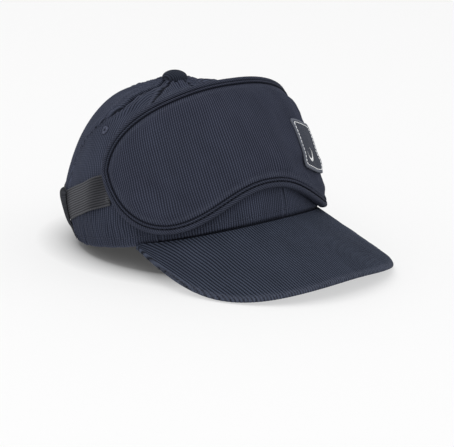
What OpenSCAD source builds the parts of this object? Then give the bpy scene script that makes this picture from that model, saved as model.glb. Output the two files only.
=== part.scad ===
// Six-panel baseball cap with a padded sleep eye mask parked on the front of its crown.
// Origin: centre of the head opening, on the plane that the cap rests on.
// +Z is up, the brim points towards -Y, and +X is the wearer's left.
// Angles round the crown are measured from the front (-Y) towards +X.

/* [Crown] */
// Half width of the head opening
half_width = 82; // [76:1:88]
// Half length of the head opening
half_length = 96; // [90:1:102]
// Height of the crown's top above the rest plane, without its small peak
crown_height = 112; // [108:1:116]
// How far the crown's top sits behind the centre of the opening
top_shift = 15.3; // [10:0.1:20]
// Thickness of the crown fabric
fabric = 1.2; // [1:0.1:1.3]
// Share by which the tightened back of the hem is drawn in
tuck_depth = 0.2; // [0.1:0.01:0.22]
// Mean height of the hem
hem_mean = 14.9; // [14.5:0.1:15]
// How far the hem rises from back to front
hem_swing = 19.4; // [19:0.1:19.6]

/* [Back opening] */
// Half angle of the opening at the back
open_angle = 27; // [25:0.5:28]
// Height of the opening's arch
open_height = 46; // [40:1:50]
// Top edge of the closing strap
size_strap_top = 17; // [14:0.5:17]

/* [Brim] */
// Angle from the centre line to each end of the brim
brim_angle = 71; // [68:1:73]
// Length of the brim, ahead of the crown
brim_length = 64.2; // [56:0.2:68]
// Half width of the brim
brim_half_width = 86.8; // [84:0.1:88]
// Radius that the brim is bent to
brim_radius = 118; // [118:1:130]
// Downward slope of the brim's centre line
brim_slope = 22.1; // [18:0.1:22.2]
// Thickness of the board inside the brim
board = 1.4; // [1:0.1:1.4]

/* [Mask] */
// Half angle that the mask covers
mask_half_angle = 78.4; // [74:0.1:79]
// How far round the crown the mask is turned
mask_turn = -8.3; // [-9:0.1:0]
// Gap from the crown to the mask's outer face, at the hem
mask_offset = 6.5; // [6.3:0.1:7.5]
// Height of the mask's top edge
mask_top = 127; // [124:1:128]
// Height of the mask's two ends
mask_end_z = 65.4; // [64:0.1:67]
// Depth of the two lobes below the ends
lobe_drop = 41; // [38:0.5:41]
// Height of the nose arch above the lobes
nose_arch = 37; // [33:0.5:39]
// Width of the binding round the mask's edge
binding = 3; // [2.5:0.1:3.2]

/* [Strap] */
// Width of the elastic strap
strap_width = 20; // [18:0.5:20]
// Height of the strap's centre line behind the head
strap_back_z = 27.5; // [27.5:0.5:32]
// Height of the strap's centre line at the mask
strap_end_z = 53.5; // [52:0.5:54]

/* [Hidden] */

navy = [0.20, 0.21, 0.27];
charcoal = [0.27, 0.27, 0.29];

// Crown shape: its sections by height are superellipses, boxier at the front than at the back
hem_double = 3.4;
front_square_r = 5.26;
back_square_r = 2.53;
front_square_z = 2.5;
back_square_z = 1.55;
tuck_top = 41;
tuck_reach = 1.6;
tuck_curve = 1.5;

panel_angle = 60;
seam_gap = 0.12;
panel_columns = 8;
crown_rows = 14;
crown_top_u = 0.965;

// The seams draw the crown up to a small peak under the button
top_peak = 3.3;
peak_share = 0.15;
back_columns = 5;
arch_columns = 7;

// Layers inside the crown, as distances inwards from its outer face
buckram_depth = [1.5, 2.1];
tape_depth = [2.3, 2.7];
tape_half_width = 5;
sweatband_depth = [3.2, 4.0];
sweatband_height = 30;

// Mask shape: a drum that leans back less than the crown does
mask_apex = 139.6;
mask_square_r = 3.34;
mask_square_z = 1.5;
mask_top_shift = 12.6;
mask_depth = 3.6;
face_depth = [0, 0.8];
foam_depth = [0.9, 2.9];
lining_depth = [3.0, 3.6];
mask_columns = 15;
mask_rows = 8;

function mix(p, q, w) = p + (q - p)*w;
function front_part(a) = 0.5 + 0.5*cos(a);
function hem_z(a) = max(0, hem_mean + hem_swing*cos(a) + hem_double*cos(2*a));

// Share of the full radius at an angle and height, where the hem is drawn in behind the head
function tuck(a, z) =
    1 - tuck_depth*pow(1 - front_part(a), tuck_reach)*pow(max(0, 1 - z/tuck_top), tuck_curve);

// Exponents of the crown's profile at an angle: radius first, height second
function square_r(a) = 2/mix(2/back_square_r, 2/front_square_r, front_part(a));
function square_z(a) = 2/mix(2/back_square_z, 2/front_square_z, front_part(a));

// Point on the crown at an angle and a share u of the way from hem (0) to top (1)
function crown_at(a, u, off) =
    let (r = cos(90*u),
         s = pow(max(0, 1 - pow(r, square_r(a))), 1/square_z(a)),
         z = mix(hem_z(a), crown_height + off, s) + top_peak*exp(-pow(r/peak_share, 2)),
         k = tuck(a, z))
    [(half_width + off)*r*sin(a)*k, -(half_length + off)*r*cos(a)*k + top_shift*s, z];

// The share u at which the crown reaches a height, below the peak
function u_at(a, z) =
    let (s = max(0, (z - hem_z(a))/(crown_height - hem_z(a))))
    acos(pow(1 - pow(s, square_z(a)), 1/square_r(a)))/90;

function crown_at_z(a, z, off) = crown_at(a, u_at(a, z), off);

function quad(a, b, c, d) = [[a, b, c], [a, c, d]];

// Closed solid between an outer and an inner grid of points
module shell(outer, inner) {
    rows = len(outer);
    cols = len(outer[0]);
    half = rows*cols;
    points = concat([for (row = outer) each row], [for (row = inner) each row]);
    skins = [for (i = [0:rows - 2], j = [0:cols - 2]) let (k = i*cols + j)
        each concat(quad(k, k + 1, k + cols + 1, k + cols),
            quad(half + k, half + k + cols, half + k + cols + 1, half + k + 1))];
    last = (rows - 1)*cols;
    row_rims = [for (j = [0:cols - 2])
        each concat(quad(j, half + j, half + j + 1, j + 1),
            quad(last + j, last + j + 1, half + last + j + 1, half + last + j))];
    col_rims = [for (i = [0:rows - 2]) let (k = i*cols, m = i*cols + cols - 1)
        each concat(quad(k, k + cols, half + k + cols, half + k),
            quad(m, half + m, half + m + cols, m + cols))];
    polyhedron(points, concat(skins, row_rims, col_rims));
}

// Closed solid swept through four-cornered sections, with ends or joined into a ring
module sweep(sections, ring) {
    n = len(sections);
    spans = ring ? n - 1 : n - 2;
    points = [for (section = sections) each section];
    sides = [for (i = [0:spans], j = [0:3])
        let (k = 4*i, m = 4*((i + 1) % n), next = (j + 1) % 4)
        each quad(k + j, m + j, m + next, k + next)];
    caps = ring ? [] : concat(quad(0, 1, 2, 3), quad(4*n - 1, 4*n - 2, 4*n - 3, 4*n - 4));
    polyhedron(points, concat(sides, caps));
}

// Part of the crown's surface, between two depths, over lists of angles and start shares
module crown_piece(angles, starts, top_u, rows, depth) {
    shell([for (i = [0:len(angles) - 1]) [for (j = [0:rows])
            crown_at(angles[i], mix(starts[i], top_u, j/rows), -depth[0])]],
        [for (i = [0:len(angles) - 1]) [for (j = [0:rows])
            crown_at(angles[i], mix(starts[i], top_u, j/rows), -depth[1])]]);
}

// Band that lies on the crown between two angles, with its lower edge and height as functions
// of a share: the two depths may be negative, which puts the band outside the crown
module crown_band(from, to, steps, low, high, depth) {
    angles = [for (i = [0:steps]) mix(from, to, i/steps)];
    rows = 3;
    shell([for (a = angles) [for (j = [0:rows])
            crown_at_z(a, mix(low, high, j/rows), -depth[0])]],
        [for (a = angles) [for (j = [0:rows])
            crown_at_z(a, mix(low, high, j/rows), -depth[1])]]);
}

/* Crown */

// Right-hand panel between two seams; the left-hand one is its mirror image
module plain_panel(from) {
    color(navy)
    crown_piece([for (i = [0:panel_columns])
            mix(from + seam_gap, from + panel_angle - seam_gap, i/panel_columns)],
        [for (i = [0:panel_columns]) 0], crown_top_u, crown_rows, [0, fabric]);
}

// Height of the edge of the back opening, at an angle b from the centre of the back
function arch_z(b) =
    b < open_angle ? open_height*sqrt(1 - pow(b/open_angle, 2)) : hem_z(180 - b);

module back_panel() {
    plain = [for (i = [0:back_columns])
        mix(panel_angle - seam_gap, open_angle, i/back_columns)];
    arched = [for (i = [1:arch_columns])
        max(seam_gap, open_angle*cos(90*i/arch_columns))];
    across = concat(plain, arched);
    color(navy)
    crown_piece([for (b = across) b - 180],
        [for (b = across) u_at(180 - b, arch_z(b))], crown_top_u, crown_rows, [0, fabric]);
}

module front_panel_right() { plain_panel(-panel_angle); }
module front_panel_left() { mirror([1, 0, 0]) plain_panel(-panel_angle); }
module side_panel_right() { plain_panel(-2*panel_angle); }
module side_panel_left() { mirror([1, 0, 0]) plain_panel(-2*panel_angle); }
module back_panel_right() { back_panel(); }
module back_panel_left() { mirror([1, 0, 0]) back_panel(); }

// Stiffener behind the two front panels; its rows and columns match the panels'
module front_buckram() {
    step = panel_angle/panel_columns;
    row = crown_top_u/crown_rows;
    columns = panel_columns - 0.5;
    color("silver")
    crown_piece([for (i = [-columns:0.5:columns]) i*step],
        [for (i = [-columns:0.5:columns]) row], row*(crown_rows - 3), crown_rows - 4,
        buckram_depth);
}

// One strip over the inside of each seam
module seam_tape(a, first_row) {
    row = crown_top_u/crown_rows;
    shares = [for (j = [first_row:crown_rows - 2]) j*row];
    function swing(u) = tape_half_width/(half_width*cos(90*u))*180/PI;
    shell([for (side = [-1, 0, 1]) [for (u = shares)
            crown_at(a + side*swing(u), u, -tape_depth[0])]],
        [for (side = [-1, 0, 1]) [for (u = shares)
            crown_at(a + side*swing(u), u, -tape_depth[1])]]);
}

module seam_tapes() {
    back_row = 5;
    color(navy) {
        for (a = [-2:2]) seam_tape(a*panel_angle, 1);
        seam_tape(180, back_row);
    }
}

module sweatband() {
    steps = 44;
    end = 180 - open_angle - 0.5;
    angles = [for (i = [0:steps]) mix(-end, end, i/steps)];
    color(navy)
    shell([for (a = angles) [for (h = [0, 0.5, 1])
            crown_at_z(a, hem_z(a) + h*sweatband_height, -sweatband_depth[0])]],
        [for (a = angles) [for (h = [0, 0.5, 1])
            crown_at_z(a, hem_z(a) + h*sweatband_height, -sweatband_depth[1])]]);
}

module inner_label() {
    color("gainsboro") crown_band(-160, -142, 3, 56, 70, [2.3, 2.7]);
}

/* Brim */

// Point on the brim's middle surface: t runs from side to side, s from the crown outwards.
// The outer edge lies on a tilted cylinder and closes in on the crown at both ends.
function brim_seam(t) = crown_at(brim_angle*t, 0, 0.3);
function brim_edge(t) =
    let (turn = 90*t,
         corner_y = -45.1,
         x = brim_half_width*sign(turn)*pow(abs(sin(turn)), 0.92),
         reach = half_length + brim_length + corner_y,
         y = corner_y - reach*pow(max(0, cos(turn)), 0.68),
         drop = brim_radius*(1 - cos(asin(x/brim_radius))),
         closing = 0.93*pow(abs(t), 18))
    mix([x, y, hem_z(0) + (y + half_length)*tan(brim_slope) - drop],
        brim_seam(sign(t)), closing);
function brim_at(t, s, lift) = mix(brim_seam(t), brim_edge(t), s) + [0, 0, lift];

module brim_layer(bottom, top, reach) {
    columns = 14;
    rows = 5;
    across = [for (i = [-columns:columns]) sin(90*i/columns)];
    shell([for (t = across) [for (j = [0:rows]) brim_at(t, reach*j/rows, top)]],
        [for (t = across) [for (j = [0:rows]) brim_at(t, reach*j/rows, bottom)]]);
}

cover = 0.7;
cover_gap = 0.05;
board_reach = 0.985;
module brim_board() { color("silver") brim_layer(-board/2, board/2, board_reach); }
module brim_top_cover() {
    color(navy) brim_layer(board/2 + cover_gap, board/2 + cover_gap + cover, 1);
}
module brim_under_cover() {
    color(navy) brim_layer(-board/2 - cover_gap - cover, -board/2 - cover_gap, 1);
}

/* Top button and eyelets */

button_radius = 9;
button_rise = 6;
button_gap = 0.3;
prong_radius = 1.6;

button_lift = 3;
module on_top(z) { translate([0, top_shift, crown_height + button_lift + z]) children(); }

// Points of a quarter ellipse, from the rim up to the axis
function dome(radius, rise) = [for (i = [0:10]) [radius*cos(9*i), rise*sin(9*i)]];

module button_cover() {
    skin = 0.8;
    color(navy) on_top(button_gap) rotate_extrude($fn = 64)
        polygon(concat(dome(button_radius, button_rise),
            [for (i = [10:-1:0])
                [(button_radius - skin)*cos(9*i), (button_rise - skin)*sin(9*i)]]));
}

module button_core() {
    core_radius = 7.8;
    core_rise = 4.8;
    rivet_radius = 2.6;
    prong_length = 4;
    color("silver") {
        on_top(button_gap + 0.1) rotate_extrude($fn = 64) polygon(concat([[0, 0]],
            dome(core_radius, core_rise)));
        on_top(button_gap + 0.2 - prong_length) cylinder(h = prong_length, r = prong_radius,
            $fn = 48);
        on_top(button_gap - 0.6 - prong_length) cylinder(h = 0.8, r = rivet_radius, $fn = 48);
    }
}

module button_washer() {
    thickness = 0.8;
    washer_radius = 7;
    color("silver") on_top(-3.3) difference() {
        cylinder(h = thickness, r = washer_radius, $fn = 48);
        translate([0, 0, -1]) cylinder(h = thickness + 2, r = prong_radius + 0.2, $fn = 48);
    }
}

// Stands its children on the crown, with their +Z along the surface's outward normal
module on_crown(a, u, off) {
    step = 0.01;
    along = crown_at(a + 100*step, u, 0) - crown_at(a - 100*step, u, 0);
    up = crown_at(a, u + step, 0) - crown_at(a, u - step, 0);
    n = cross(along, up)/norm(cross(along, up));
    translate(crown_at(a, u, 0) + off*n) rotate([0, acos(n.z), atan2(n.y, n.x)]) children();
}

module eyelets() {
    ring_radius = 2.5;
    thread = 0.75;
    color([0.27, 0.29, 0.37])
        for (a = [-150, -94, 94, 150]) on_crown(a, 0.45, 0.25 + thread)
            rotate_extrude($fn = 36) translate([ring_radius, 0]) circle(r = thread, $fn = 16);
}

/* Back opening and its closure */

module opening_binding() {
    steps = 20;
    edge_gap = 0.3;
    width_angle = 1.9;
    width = 3;
    offs = [0.2, -1.8];
    function rim(v, inset_angle, inset) = let (b = (open_angle - inset_angle)*cos(v))
        [180 - b, (open_height - inset)*sin(v)];
    function corner(p, off) = crown_at_z(p.x, p.y, off);
    color(charcoal)
    sweep([for (i = [0:steps]) let (v = 180*i/steps,
            far = rim(v, edge_gap, edge_gap), near = rim(v, width_angle, width))
        [corner(far, offs[0]), corner(far, offs[1]), corner(near, offs[1]),
            corner(near, offs[0])]], false);
}

// The closure bands overlap behind the head; angles are measured from the front
strap_root_angle = 180 - open_angle + 4.6;
module size_strap() {
    color(navy) crown_band(strap_root_angle, 194, 8, 2, size_strap_top, [-0.35, 0.75]);
}
module hook_patch() {
    color("black") crown_band(181, 193.5, 3, 3, size_strap_top - 1, [0.85, 1.25]);
}
module loop_patch() {
    color("black") crown_band(180.5, 197, 3, 3, size_strap_top - 1, [1.35, 1.75]);
}
module size_tab() {
    color(navy) crown_band(180, 210, 8, 2, size_strap_top, [2.35, 3.05]);
}

/* Elastic strap and its keepers */

// Share of the way from the centre of the back (0) to the end of the strap (1)
strap_end_right = -82;
strap_end_left = 66;
function strap_share(a) =
    a > 180 ? (a - 180)/(180 + strap_end_right) : (180 - a)/(180 - strap_end_left);

// Height of the strap's centre line: level behind the head, then rising to the mask
function strap_z(a) =
    let (rise_start = 0.589,
         x = (strap_share(a) - rise_start)/(1 - rise_start),
         soft = 0.06)
    mix(strap_back_z, strap_end_z, (x + sqrt(x*x + soft*soft))/2);

// Half of the strap's width, measured straight up, so that the sloping parts stay full width
function strap_half(a) = strap_width/2*(strap_share(a) > 0.6 ? 1.06 : 1);

module elastic_strap() {
    steps = 44;
    offs = [1.4, 0.5];
    angles = [for (i = [0:steps]) mix(strap_end_left, 360 + strap_end_right, i/steps)];
    color(charcoal)
    shell([for (a = angles) [for (j = [-1:0.5:1])
            crown_at_z(a, strap_z(a) + j*strap_half(a), offs[0])]],
        [for (a = angles) [for (j = [-1:0.5:1])
            crown_at_z(a, strap_z(a) + j*strap_half(a), offs[1])]]);
}

// Webbing bridge that stands over the strap, sewn down above it and at the hem
module strap_keeper() {
    webbing = 1.1;
    from = -128;
    to = -121;
    sewn_top = 2.2;
    path = [[1, 0.2], [0.968, 0.2], [0.945, 2.2], [0.86, 3.3], [0.7, 3], [0.45, 2.5], [0.33, 2.2],
        [0.2, 0.9], [0.1, 0.4], [0, 0.4]];
    foot = 6;
    function head(a) = strap_z(360 + a) + strap_half(360 + a) + sewn_top;
    function strip(a, extra) = [for (p = path)
        crown_at_z(a, mix(foot, head(a), p.x), p.y + extra)];
    angles = [for (i = [0:4]) mix(from, to, i/4)];
    color(charcoal)
    shell([for (a = angles) strip(a, 0)], [for (a = angles) strip(a, webbing)]);
}
module strap_keeper_right() { strap_keeper(); }
module strap_keeper_left() { mirror([1, 0, 0]) strap_keeper(); }

/* Mask */

// Top and bottom edges of the mask at a share t of its half width, drawn in by an inset
function mask_high(t, inset) =
    mix(mask_end_z, mask_top - inset, pow(1 - pow(abs(t), 2.23), 1/2.14));
function mask_low(t, inset) =
    let (lobe = pow(1 - pow(abs(t), 5.5), 1/1.17),
         arch_width = 34.8,
         arch = exp(-pow(abs(t*mask_half_angle)/arch_width, 2.2)))
    mask_end_z - (lobe_drop - inset)*lobe + nose_arch*arch;

// Point on the mask at share t, height z and depth below its outer face
function mask_at(t, z, depth, inset) =
    let (a = t*(mask_half_angle - inset*0.68) + mask_turn,
         off = mask_offset - depth,
         s = (z - hem_z(a))/(mask_apex - depth - hem_z(a)),
         r = pow(1 - pow(max(0, s), mask_square_z), 1/mask_square_r))
    [(half_width + off)*r*sin(a), -(half_length + off)*r*cos(a) + mask_top_shift*s, z];

// Point on the mask at shares t across and v upwards
function mask_uv(t, v, depth, inset) =
    mask_at(t, mix(mask_low(t, inset), mask_high(t, inset), v), depth, inset);

// One layer of the mask, between two depths, inside its binding
module mask_layer(depth) {
    inset = binding + 0.3;
    last_angle = 86;
    across = [for (i = [-mask_columns:mask_columns]) sin(last_angle*i/mask_columns)];
    shell([for (t = across) [for (j = [0:mask_rows])
            mask_uv(t, j/mask_rows, depth[0], inset)]],
        [for (t = across) [for (j = [0:mask_rows])
            mask_uv(t, j/mask_rows, depth[1], inset)]]);
}

// Ring round the mask's outline, between two insets and two depths
module mask_ring(insets, depths) {
    steps = 72;
    function rim(turn, inset) = let (t = -cos(turn))
        [t, turn < 180 ? mask_high(t, inset) : mask_low(t, inset)];
    function corner(turn, inset, depth) = let (p = rim(turn, inset))
        mask_at(p.x, p.y, depth, inset);
    sweep([for (i = [0:steps - 1]) let (turn = 360*i/steps)
        [corner(turn, insets[0], depths[0]), corner(turn, insets[0], depths[1]),
            corner(turn, insets[1], depths[1]), corner(turn, insets[1], depths[0])]], true);
}

module mask_face() { color(navy) mask_layer(face_depth); }
module mask_foam() { color("gold") mask_layer(foam_depth); }
module mask_lining() { color([0.15, 0.15, 0.19]) mask_layer(lining_depth); }
module mask_binding() { color(navy) mask_ring([0, binding], [-0.2, mask_depth + 0.2]); }
module mask_piping() { color(navy) mask_ring([binding + 1.4, binding + 3.2], [-1.0, -0.2]); }

/* Patch on the wearer's left lobe */

patch_t = [0.325, 0.565];
patch_v = [0.27, 0.66];
patch_edge_t = 0.013;
patch_edge_v = 0.02;

module patch_base() {
    steps = 4;
    color(charcoal)
    shell([for (i = [0:steps]) [for (j = [0:steps])
            mask_uv(mix(patch_t[0], patch_t[1], i/steps),
                mix(patch_v[0], patch_v[1], j/steps), -1.3, 0)]],
        [for (i = [0:steps]) [for (j = [0:steps])
            mask_uv(mix(patch_t[0], patch_t[1], i/steps),
                mix(patch_v[0], patch_v[1], j/steps), -0.2, 0)]]);
}

module patch_edge() {
    steps = 5;
    sides = [[0, 0], [1, 0], [1, 1], [0, 1]];
    path = [for (k = [0:3], i = [0:steps - 1]) mix(sides[k], sides[(k + 1) % 4], i/steps)];
    function spread(range, share, grow) = mix(range[0] - grow, range[1] + grow, share);
    function corner(p, grow, depth) = mask_uv(spread(patch_t, p.x, grow*patch_edge_t),
        spread(patch_v, p.y, grow*patch_edge_v), depth, 0);
    color([0.36, 0.37, 0.41])
    sweep([for (p = path) [corner(p, 1, -1.9), corner(p, 0.12, -1.9), corner(p, 0.12, -0.2),
        corner(p, 1, -0.2)]], true);
}

// Plain crescent, standing on the patch
module patch_emblem() {
    t = 0.405;
    v = 0.39;
    step = 0.01;
    moon_radius = 4.6;
    along = mask_uv(t + step, v, 0, 0) - mask_uv(t - step, v, 0, 0);
    up = mask_uv(t, v + step, 0, 0) - mask_uv(t, v - step, 0, 0);
    n = cross(along, up)/norm(cross(along, up));
    color("white")
    translate(mask_uv(t, v, -1.6, 0)) rotate([0, acos(n.z), atan2(n.y, n.x)])
        linear_extrude(0.5) difference() {
            circle(r = moon_radius, $fn = 48);
            translate([-1.2, 1.8]) circle(r = moon_radius*0.86, $fn = 48);
        }
}

front_panel_right();
front_panel_left();
side_panel_right();
side_panel_left();
back_panel_right();
back_panel_left();
front_buckram();
seam_tapes();
sweatband();
inner_label();
brim_board();
brim_top_cover();
brim_under_cover();
button_cover();
button_core();
button_washer();
eyelets();
opening_binding();
size_strap();
size_tab();
hook_patch();
loop_patch();
strap_keeper_right();
strap_keeper_left();
elastic_strap();
mask_face();
mask_foam();
mask_lining();
mask_binding();
mask_piping();
patch_base();
patch_edge();
patch_emblem();
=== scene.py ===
import math
from math import pi, tau

import bmesh
import bpy
import numpy as np
from mathutils import Matrix, Vector
from mathutils.kdtree import KDTree
from numpy import (array, clip, concatenate, cos, cross, exp, interp, linspace, maximum, minimum,
    radians, sin, sqrt, stack)


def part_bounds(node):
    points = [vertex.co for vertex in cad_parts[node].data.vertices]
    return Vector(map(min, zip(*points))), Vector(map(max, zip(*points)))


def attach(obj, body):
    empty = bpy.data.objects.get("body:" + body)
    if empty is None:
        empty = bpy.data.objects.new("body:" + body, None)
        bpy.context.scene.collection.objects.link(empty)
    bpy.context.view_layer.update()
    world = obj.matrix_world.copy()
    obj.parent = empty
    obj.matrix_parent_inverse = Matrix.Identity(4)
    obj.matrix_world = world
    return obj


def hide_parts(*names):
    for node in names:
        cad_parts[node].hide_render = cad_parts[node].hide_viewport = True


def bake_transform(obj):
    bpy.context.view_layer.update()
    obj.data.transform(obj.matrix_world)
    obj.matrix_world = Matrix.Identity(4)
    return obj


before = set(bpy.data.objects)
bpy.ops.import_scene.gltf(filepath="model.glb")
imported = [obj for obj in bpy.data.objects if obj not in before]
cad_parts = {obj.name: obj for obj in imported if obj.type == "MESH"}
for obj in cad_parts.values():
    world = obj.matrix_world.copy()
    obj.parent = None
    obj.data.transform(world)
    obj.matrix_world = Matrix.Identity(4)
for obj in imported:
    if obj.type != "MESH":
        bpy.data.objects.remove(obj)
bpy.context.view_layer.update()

# Lengths below are in millimetres and angles in degrees; build() turns them into metres.
MM = 0.001
norm = np.linalg.norm


def part_box(node):
    lo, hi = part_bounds(node)
    return array(lo)/MM, array(hi)/MM


# ---- shape of the cap and mask

HALF_WIDTH, HALF_LENGTH = 82.0, 96.0
TOP_SHIFT, CROWN_TOP = 15.3, 112.0
HEM_MEAN, HEM_SWING, HEM_DOUBLE = 14.9, 19.4, 3.4
TUCK, TUCK_TOP = 0.2, 41.0
FABRIC = 1.2
PEAK, PEAK_SHARE = 3.3, 0.15
OPEN_ANGLE, OPEN_HEIGHT = 27.0, 46.0
BRIM_ANGLE, BRIM_HALF, BRIM_REACH, BRIM_CORNER = 71.0, 86.8, 115.1, -45.1
BRIM_RADIUS, BRIM_SLOPE = 118.0, 22.1
MASK_ANGLE, MASK_TURN, MASK_OFF = 78.4, -8.3, 6.5
MASK_END, MASK_TOP, LOBE, NOSE = 65.4, 127.0, 41.0, 37.0
MASK_APEX, MASK_SHIFT, MASK_DEPTH = 139.6, 12.6, 3.6
STRAP_LEFT, STRAP_RIGHT = 66.0, -82.0


def xyz(x, y, z=0.0): return stack(np.broadcast_arrays(x, y, z), -1)
def circle(count): return linspace(0, tau, count, endpoint=False)
def cosd(a): return cos(radians(a))
def sind(a): return sin(radians(a))
def mix(p, q, w): return p + (q - p)*w
def pw(x, n): return np.power(maximum(x, 0), n)
def smooth(x): return clip(x, 0, 1)**2*(3 - 2*clip(x, 0, 1))
def bell(x, w): return exp(-(x/w)**2)
def front_part(a): return 0.5 + 0.5*cosd(a)
def hem_z(a): return maximum(0, HEM_MEAN + HEM_SWING*cosd(a) + HEM_DOUBLE*cosd(2*a))
def square_r(a): return 2/mix(2/2.53, 2/5.26, front_part(a))
def square_z(a): return 2/mix(2/1.55, 2/2.5, front_part(a))
def tuck(a, z): return 1 - TUCK*pw(1 - front_part(a), 1.6)*pw(1 - z/TUCK_TOP, 1.5)


def crown(a, u, off=0.0):
    a, u, off = np.broadcast_arrays(np.asarray(a, float), u, off)
    r = cosd(90*u)
    s = pw(1 - pw(r, square_r(a)), 1/square_z(a))
    z = mix(hem_z(a), CROWN_TOP + off, s) + PEAK*exp(-(r/PEAK_SHARE)**2)
    k = tuck(a, z)
    return xyz((HALF_WIDTH + off)*r*sind(a)*k, -(HALF_LENGTH + off)*r*cosd(a)*k + TOP_SHIFT*s, z)


def u_at(a, z):
    s = pw((z - hem_z(a))/(CROWN_TOP - hem_z(a)), 1)
    return np.degrees(np.arccos(clip(pw(1 - pw(s, square_z(a)), 1/square_r(a)), 0, 1)))/90


def crown_z(a, z, off=0.0):
    return crown(a, u_at(a, z), off)


def mask_high(t, inset=0.0):
    return mix(MASK_END, MASK_TOP - inset, pw(1 - pw(np.abs(t), 2.23), 1/2.14))


def mask_low(t, inset=0.0):
    lobe = pw(1 - pw(np.abs(t), 5.5), 1/1.17)
    far = 1.2*smooth((t - 0.2)/0.3)
    return MASK_END - (LOBE - inset - far)*lobe + NOSE*exp(-pw(np.abs(t*MASK_ANGLE)/34.8, 2.2))


def mask_at(t, z, depth=0.0, inset=0.0):
    a = t*(MASK_ANGLE - inset*0.68) + MASK_TURN
    off = MASK_OFF - depth
    s = (z - hem_z(a))/(MASK_APEX - depth - hem_z(a))
    r = pw(1 - pw(s, 1.5), 1/3.34)
    return xyz((HALF_WIDTH + off)*r*sind(a), -(HALF_LENGTH + off)*r*cosd(a) + MASK_SHIFT*s, z)


def strap_share(a):
    return np.where(a > 180, (a - 180)/(180 + STRAP_RIGHT), (180 - a)/(180 - STRAP_LEFT))


def strap_z(a):
    x = (strap_share(a) - 0.589)/0.411
    return mix(27.5, 53.5, (x + sqrt(x*x + 0.0036))/2)


def strap_half(a):
    return 10 + 0.6*smooth((strap_share(a) - 0.52)/0.16)


# ---- mesh helpers

def unit(v):
    return v/maximum(norm(v, axis=-1, keepdims=True), 1e-9)


INSIDE = array([0, 10, 45.0])


def normals(p):
    """Unit normals of a grid of points, all pointing out of the object."""
    n = unit(cross(np.gradient(p, axis=0), np.gradient(p, axis=1)))
    return -n if np.sum(n*(p - INSIDE)) < 0 else n


def surface_normals(surface, a, b, da, db):
    """Unit normals of surface(a, b), from points da and db to either side."""
    n = cross(surface(a + da, b) - surface(a - da, b), surface(a, b + db) - surface(a, b - db))
    out = np.sum(n*(surface(a, b) - INSIDE), -1, keepdims=True)
    return unit(np.where(out < 0, -n, n))


def length_along(p, axis):
    step = norm(np.diff(p, axis=axis), axis=-1)
    zero = np.zeros_like(np.take(step, [0], axis))
    return concatenate([zero, np.cumsum(step, axis)], axis)


def wobble(x, y, size, seed, count=7):
    """Smooth seeded noise between about -1 and 1, with features of a given size."""
    local = np.random.default_rng(seed)
    total = 0.0
    for _ in range(count):
        turn, shift = local.uniform(0, 2*pi, 2)
        k = 2*pi/size*local.uniform(0.55, 1.5)
        total = total + sin(k*(x*math.cos(turn) + y*math.sin(turn)) + shift)
    return total/math.sqrt(count)/1.2


def build(name, points, faces, material, cloth=None, sharp=50.0):
    mesh = bpy.data.meshes.new(name)
    mesh.from_pydata((np.asarray(points)*MM).tolist(), [], [tuple(f) for f in faces])
    bm = bmesh.new()
    bm.from_mesh(mesh)
    bmesh.ops.recalc_face_normals(bm, faces=bm.faces)
    bm.to_mesh(mesh)
    bm.free()
    if cloth is not None:
        data = mesh.attributes.new("cloth", "FLOAT_VECTOR", "POINT").data
        data.foreach_set("vector", np.asarray(cloth, np.float32).ravel())
    mesh.shade_smooth()
    mesh.set_sharp_from_angle(angle=math.radians(sharp))
    mesh.materials.append(material)
    made = bpy.data.objects.new(name, mesh)
    bpy.context.scene.collection.objects.link(made)
    return made


def solid(outer, inner, cloth, keep=None, ring=False):
    """Points, faces and cloth of a closed solid between two grids of points. keep says which
    cells of the grid are there."""
    n, m = outer.shape[:2]
    cells = n if ring else n - 1
    keep = np.ones((cells, m - 1), bool) if keep is None else keep
    index = np.arange(n*m).reshape(n, m)
    if ring:
        index = concatenate([index, index[:1]], 0)
    quads = stack([index[:-1, :-1][keep], index[1:, :-1][keep], index[1:, 1:][keep],
        index[:-1, 1:][keep]], -1)
    across = np.pad(keep, ((0, 0), (1, 1)))
    across = across[:, 1:] != across[:, :-1]
    along = concatenate([keep[-1:], keep]) if ring else np.pad(keep, ((1, 1), (0, 0)))
    along = along[1:] != along[:-1]
    ends = index[:len(along)]
    sides = ((index[:-1][across], index[1:][across]), (ends[:, :-1][along], ends[:, 1:][along]))
    walls = [stack([lo, hi, hi + n*m, lo + n*m], -1) for lo, hi in sides]
    faces = concatenate([quads, quads[:, ::-1] + n*m] + walls)
    points = concatenate([outer.reshape(-1, 3), inner.reshape(-1, 3)])
    used = np.unique(faces)
    lookup = np.zeros(2*n*m, int)
    lookup[used] = np.arange(len(used))
    both = concatenate([cloth.reshape(-1, 3)]*2)
    return points[used], lookup[faces], both[used]


def shell(name, outer, inner, cloth, material, keep=None, ring=False):
    points, faces, both = solid(outer, inner, cloth, keep, ring)
    return build(name, points, faces, material, both)


def loops(sections, ring):
    """Faces of a solid swept through closed sections, given as (count, corners, 3) points."""
    n, m = sections.shape[:2]
    index = np.arange(n*m).reshape(n, m)
    rows = concatenate([index, index[:1]]) if ring else index
    beside = np.roll(rows, -1, 1)
    faces = stack([rows[:-1], rows[1:], beside[1:], beside[:-1]], -1).reshape(-1, 4).tolist()
    return faces if ring else faces + [index[0].tolist(), index[-1][::-1].tolist()]


def tube(name, sections, cloth, material, ring=False):
    return build(name, sections.reshape(-1, 3), loops(sections, ring), material, cloth.reshape(-1, 3))


def joined(name, parts, material):
    """One mesh from several (points, faces, cloth) parts."""
    starts = np.cumsum([0] + [len(part[0]) for part in parts])
    faces = [[k + start for k in face] for part, start in zip(parts, starts) for face in part[1]]
    return build(name, concatenate([part[0] for part in parts]), faces, material,
        concatenate([part[2] for part in parts]))


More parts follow.
